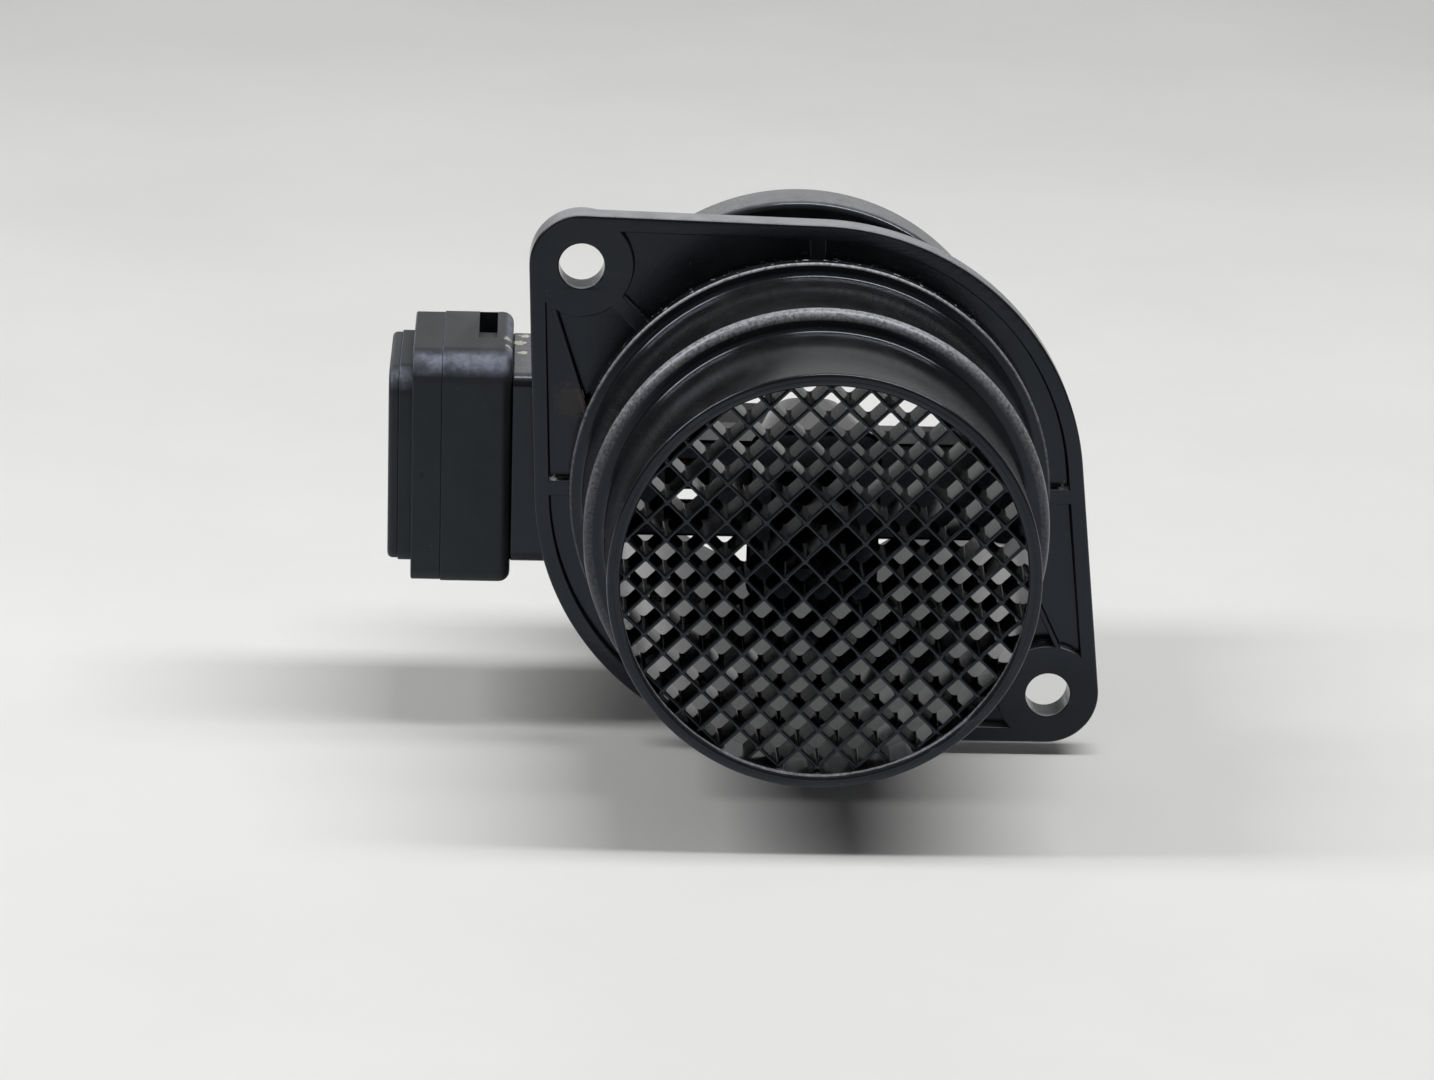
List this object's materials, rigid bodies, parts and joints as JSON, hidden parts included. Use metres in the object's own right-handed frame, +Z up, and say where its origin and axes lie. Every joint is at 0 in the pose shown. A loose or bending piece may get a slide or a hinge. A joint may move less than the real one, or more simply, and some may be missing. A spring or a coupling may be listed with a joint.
{
  "type": "mass airflow sensor",
  "caption": "Hot-film mass airflow sensor: stepped plastic duct with diagonal mesh flow grid, eared bolt flange, hose bead and side-mounted sensor module",
  "frame": {"origin": "on the duct's axis, in the plane of the flange's mounting face", "axes": "+Y along the air flow from inlet to outlet, +X right as seen from the inlet (the sensor module is on -X), +Z up"},
  "size_m": [0.1123, 0.1, 0.0863],
  "materials": {
    "duct_plastic": "satin, glass-filled, lightly scuffed",
    "grid_plastic": "semi-gloss",
    "module_plastic": "fine matt texture",
    "frame_plastic": "fine matt texture",
    "cover_plastic": "satin",
    "seal_rubber": "satin",
    "heat_sink_metal": "rolled",
    "board_laminate": "solder resist",
    "chip_plastic": "moulded epoxy",
    "capacitor_ceramic": "sintered",
    "terminal_metal": "tin plated",
    "sensor_glass": "polished",
    "thermistor_glass": "polished"
  },
  "bodies": {
    "root": {"duct_housing": "duct_plastic", "inlet_grid": "grid_plastic", "measuring_nozzle": "duct_plastic", "module_housing": "module_plastic", "module_seal": "seal_rubber", "probe_cover": "module_plastic", "chamber_frame": "frame_plastic", "chamber_cover": "cover_plastic", "heat_sink": "heat_sink_metal", "circuit_board": "board_laminate", "hot_film": "sensor_glass", "reference_film": "sensor_glass", "intake_thermistor": "thermistor_glass", "lead_strips": "terminal_metal", "signal_chip": "chip_plastic", "voltage_regulator": "chip_plastic", "terminal_pin_1": "terminal_metal", "terminal_pin_2": "terminal_metal", "terminal_pin_3": "terminal_metal", "terminal_pin_4": "terminal_metal", "terminal_pin_5": "terminal_metal", "terminal_pin_6": "terminal_metal", "capacitor_1": "capacitor_ceramic", "capacitor_2": "capacitor_ceramic", "capacitor_3": "capacitor_ceramic", "capacitor_4": "capacitor_ceramic"}
  },
  "joints": []
}
